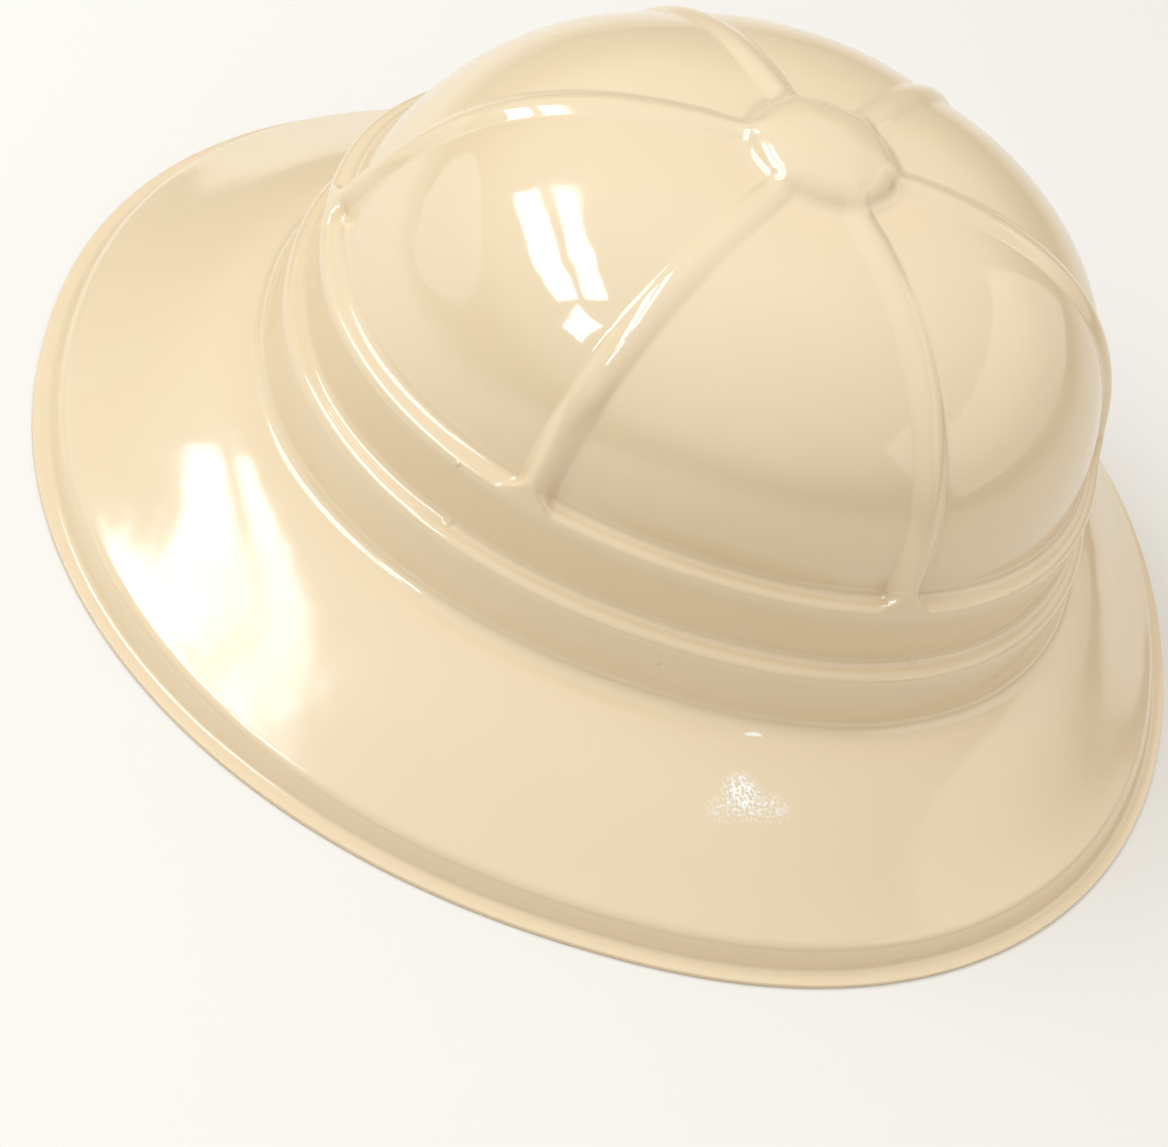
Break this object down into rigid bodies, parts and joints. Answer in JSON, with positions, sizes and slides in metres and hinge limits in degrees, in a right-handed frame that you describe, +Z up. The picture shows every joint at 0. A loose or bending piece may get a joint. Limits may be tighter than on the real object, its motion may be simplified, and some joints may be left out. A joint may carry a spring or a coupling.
{
  "type": "safari hat",
  "caption": "Safari hat moulded in one piece: a ribbed crown with a button on top, a stepped band and a wide sloping brim with a flat outer flange.",
  "frame": {"origin": "on the floor, under the middle of the brim's outline", "axes": "+Z up through the crown, -Y towards the front of the hat, +X to the left side of a wearer who looks along -Y"},
  "size_m": [0.297, 0.305, 0.1323],
  "materials": {
    "cream_plastic": "gloss"
  },
  "bodies": {
    "root": {"hat_shell": "cream_plastic"}
  },
  "joints": []
}
